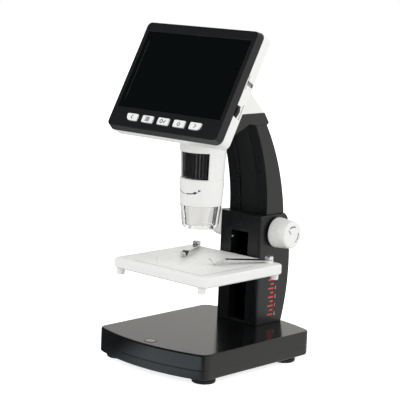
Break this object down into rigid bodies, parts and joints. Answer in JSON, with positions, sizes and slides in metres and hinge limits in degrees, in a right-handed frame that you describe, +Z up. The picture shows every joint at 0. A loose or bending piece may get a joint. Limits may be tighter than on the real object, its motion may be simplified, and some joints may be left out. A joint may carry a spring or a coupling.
{
  "type": "lcd digital microscope",
  "caption": "Desktop digital microscope: tilted screen and lens head held by a column on a weighted base, with a knob-driven lifting stage, slide clips and a clear cap under the lens.",
  "frame": {"origin": "on the table under the feet, in the middle of the whole width and depth; the optical axis stands 11.8 mm in front of it", "axes": "+Z up, parallel to the optical axis, +Y from the lens back to the column, +X to the right of a viewer who faces the screen"},
  "size_m": [0.1079, 0.1346, 0.2408],
  "materials": {
    "black_shell": "satin",
    "dark_trim": "matte",
    "white_shell": "satin",
    "stage_insert": "satin",
    "silver_key": "satin",
    "silver_trim": "satin",
    "black_rubbed": "matte",
    "rubber": "matte",
    "steel": "satin",
    "bright_steel": "polished",
    "clip_steel": "polished",
    "dark_metal": "satin",
    "brass": "machined",
    "display_glass": "polished",
    "panel_metal": "satin",
    "circuit_board": "satin",
    "battery_wrap": "satin",
    "ribbon_film": "satin",
    "port_metal": "satin",
    "lens_glass": "polished",
    "led_board": "satin",
    "led_face": "gloss",
    "clear_plastic": "polished"
  },
  "bodies": {
    "stand": {"base_top_cover": "black_shell", "base_tray": "black_shell", "base_weight": "steel", "rubber_feet": "rubber", "base_badge": "silver_trim", "base_screws": "steel", "column_housing": "black_shell", "guide_plate": "dark_trim", "guide_screws": "steel", "stop_screw": "steel", "arm_shell": "black_shell", "arm_front_cover": "dark_trim", "arm_hood": "black_shell", "arm_screws": "steel", "shaft_bushes": "dark_trim", "screen_bezel": "dark_trim", "display_glass": "display_glass", "lcd_panel": "panel_metal", "screen_rear_shell": "white_shell", "host_screws": "steel", "main_board": "circuit_board", "battery": "battery_wrap", "camera_ribbon": "ribbon_film", "usb_port": "port_metal", "card_socket": "port_metal", "button_board": "circuit_board", "dimmer_pot": "panel_metal", "head_housing": "white_shell", "head_sleeve": "white_shell", "guide_tube": "dark_metal", "sensor_board": "circuit_board", "led_board": "led_board", "white_leds": "led_face"},
    "stage": {"stage_carriage": "dark_metal", "carriage_keeper": "dark_metal", "lift_rack": "brass", "stage_screws": "steel", "stage_plate": "white_shell", "stage_disc": "stage_insert", "stage_pegs": "white_shell", "clip_bushes": "white_shell", "clip_posts": "bright_steel"},
    "focus_drive": {"focus_shaft": "steel", "drive_pinion": "brass", "focus_knob_left": "white_shell", "focus_knob_right": "white_shell", "knob_grub_screws": "steel"},
    "left_clip": {"clip_left": "clip_steel"},
    "right_clip": {"clip_right": "clip_steel"},
    "image_wheel": {"focus_wheel": "black_rubbed"},
    "lens": {"lens_barrel": "dark_metal", "objective_lenses": "lens_glass"},
    "cap": {"clear_cap": "clear_plastic"},
    "dimmer": {"dimmer_wheel": "black_rubbed"},
    "key_back": {"button_back": "silver_key"},
    "key_menu": {"button_menu": "silver_key"},
    "key_ok": {"button_ok": "silver_key"},
    "key_power": {"button_power": "silver_key"},
    "key_next": {"button_next": "silver_key"}
  },
  "joints": [
    {"name": "stage_lift", "type": "slide", "parent": "stand", "child": "stage", "axis": [0, 0, 1], "range_m": [-0.032, 0.014]},
    {"name": "focus_turn", "type": "hinge", "parent": "stand", "child": "focus_drive", "pos_m": [0, 0.04959, 0.0912], "axis": [1, 0, 0], "range_deg": [-268.38, 612.15]},
    {"name": "clip_left_swivel", "type": "hinge", "parent": "stage", "child": "left_clip", "pos_m": [-0.0355, 0.02459, 0.07555], "axis": [0, 0, 1], "range_deg": [-75, 12]},
    {"name": "clip_right_swivel", "type": "hinge", "parent": "stage", "child": "right_clip", "pos_m": [0.0355, 0.02459, 0.07555], "axis": [0, 0, 1], "range_deg": [-12, 75]},
    {"name": "lens_slide", "type": "slide", "parent": "stand", "child": "lens", "axis": [0, 0, 1], "range_m": [-0.0025, 0.0025]},
    {"name": "image_focus_turn", "type": "hinge", "parent": "stand", "child": "image_wheel", "pos_m": [0, -0.01181, 0.1436], "axis": [0, 0, 1], "range_deg": [-151, 151]},
    {"name": "cap_pull", "type": "slide", "parent": "stand", "child": "cap", "axis": [0, 0, 1], "range_m": [-0.008, 0]},
    {"name": "dimmer_turn", "type": "hinge", "parent": "stand", "child": "dimmer", "pos_m": [0.0474, -0.03975, 0.18845], "axis": [0, -0.878, 0.4787], "range_deg": [-140, 140]},
    {"name": "press_back", "type": "slide", "parent": "stand", "child": "key_back", "axis": [0, 0.878, -0.4787], "range_m": [0, 0.0006], "stiffness_N_per_m": 600, "springref_m": -0.0003},
    {"name": "press_menu", "type": "slide", "parent": "stand", "child": "key_menu", "axis": [0, 0.878, -0.4787], "range_m": [0, 0.0006], "stiffness_N_per_m": 600, "springref_m": -0.0003},
    {"name": "press_ok", "type": "slide", "parent": "stand", "child": "key_ok", "axis": [0, 0.878, -0.4787], "range_m": [0, 0.0006], "stiffness_N_per_m": 600, "springref_m": -0.0003},
    {"name": "press_power", "type": "slide", "parent": "stand", "child": "key_power", "axis": [0, 0.878, -0.4787], "range_m": [0, 0.0006], "stiffness_N_per_m": 600, "springref_m": -0.0003},
    {"name": "press_next", "type": "slide", "parent": "stand", "child": "key_next", "axis": [0, 0.878, -0.4787], "range_m": [0, 0.0006], "stiffness_N_per_m": 600, "springref_m": -0.0003}
  ],
  "couplings": [
    {"joint": "focus_turn", "follows": "stage_lift", "rad_per_m": -333.33},
    {"joint": "image_focus_turn", "follows": "lens_slide", "rad_per_m": 1047.2}
  ]
}
